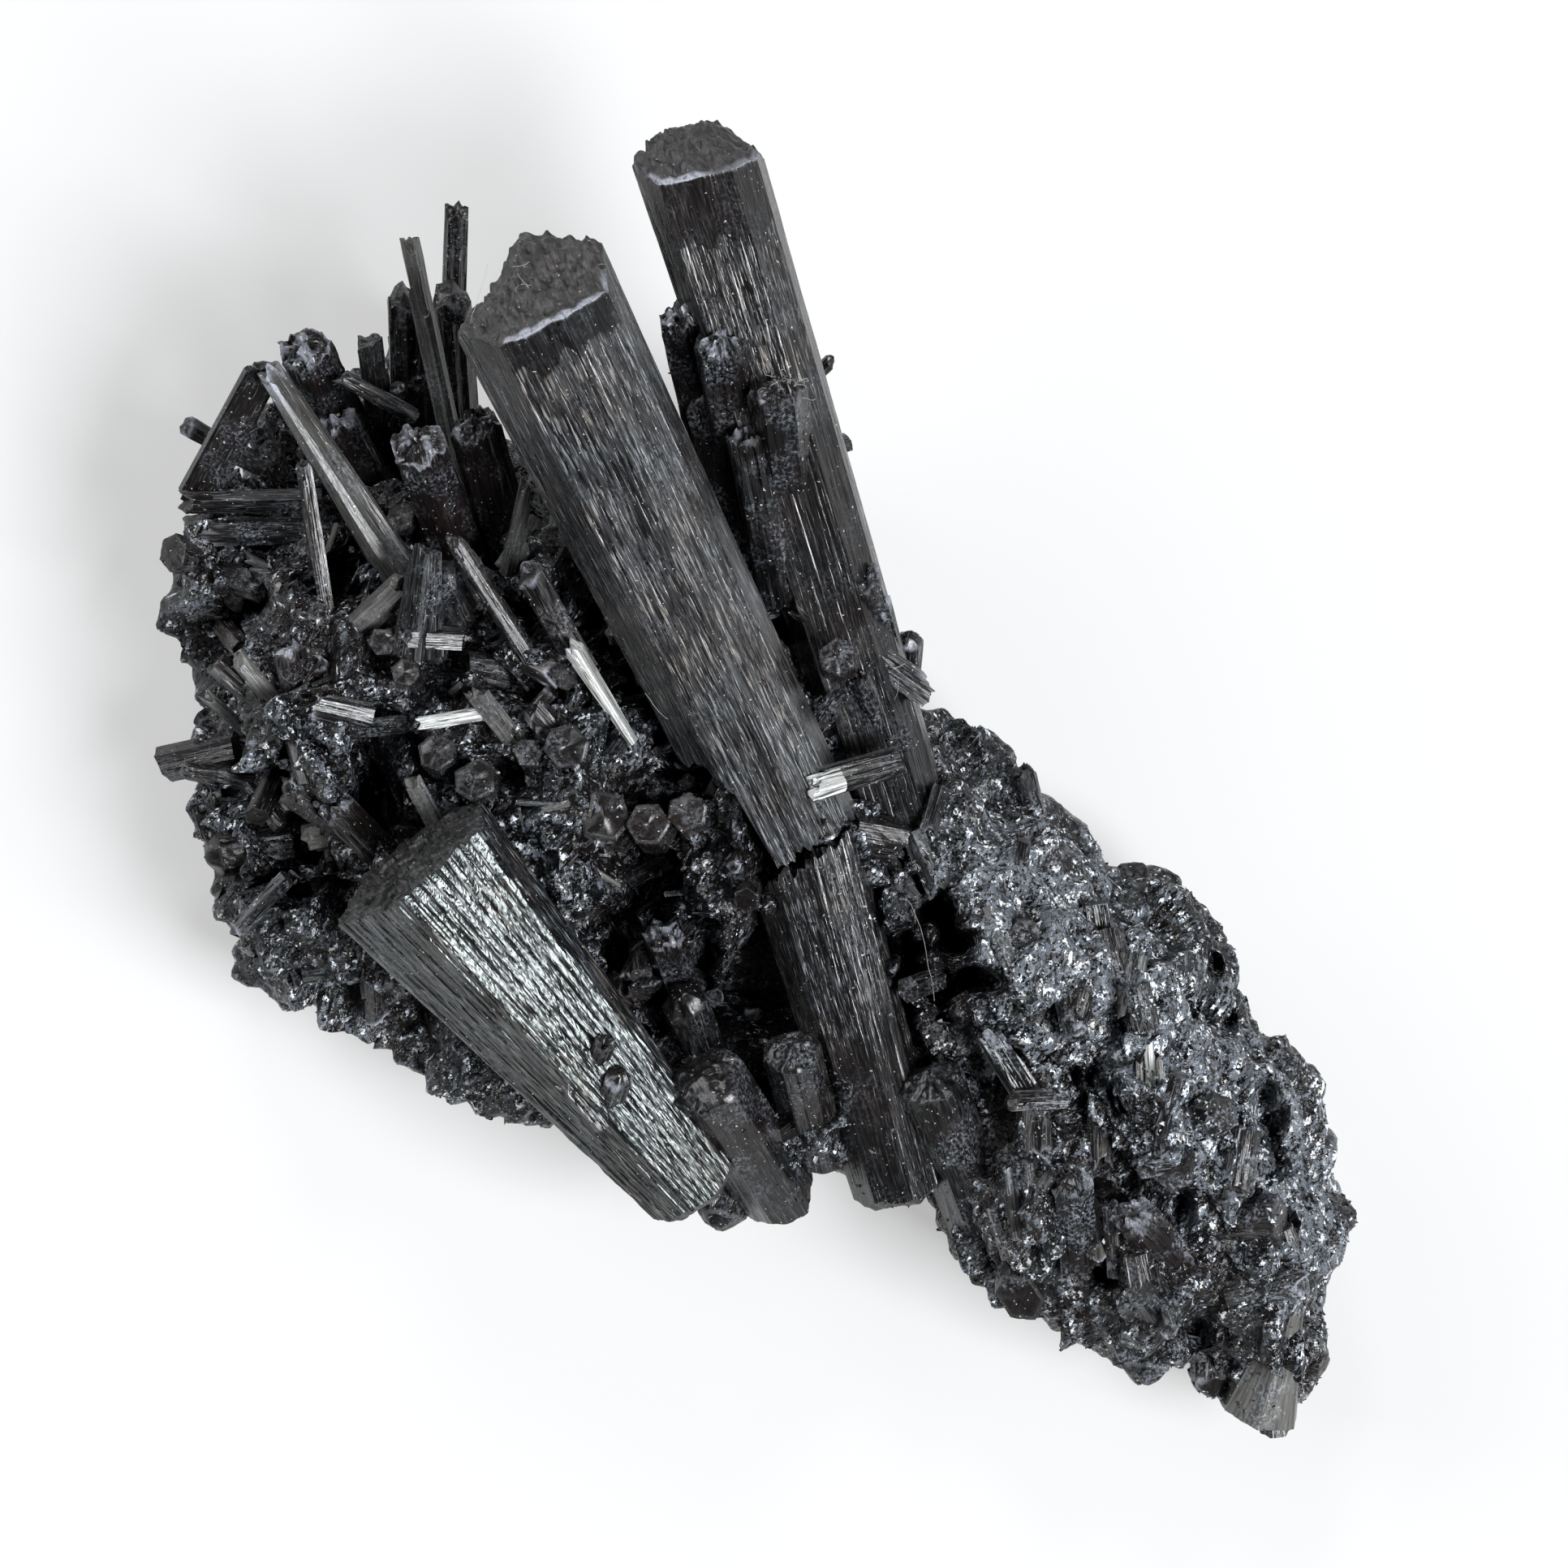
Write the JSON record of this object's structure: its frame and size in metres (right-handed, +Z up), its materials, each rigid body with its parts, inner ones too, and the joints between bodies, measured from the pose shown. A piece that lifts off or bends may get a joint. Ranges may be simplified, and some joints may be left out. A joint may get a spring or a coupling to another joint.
{
  "type": "schorl crystal cluster",
  "caption": "Cluster of black tourmaline: striated prisms rising from a mass of small crystals, with a rough tail; lies on its flat broken back as a display specimen.",
  "frame": {"origin": "middle of the bounding box, at the flat broken back that the cluster lies on", "axes": "+Z up from the broken back, +Y towards the tips of the tall prisms, +X towards the side that the rough tail runs to"},
  "size_m": [0.064, 0.069, 0.0301],
  "materials": {
    "schorl": "satin"
  },
  "bodies": {
    "root": {"schorl_cluster": "schorl"}
  },
  "joints": []
}
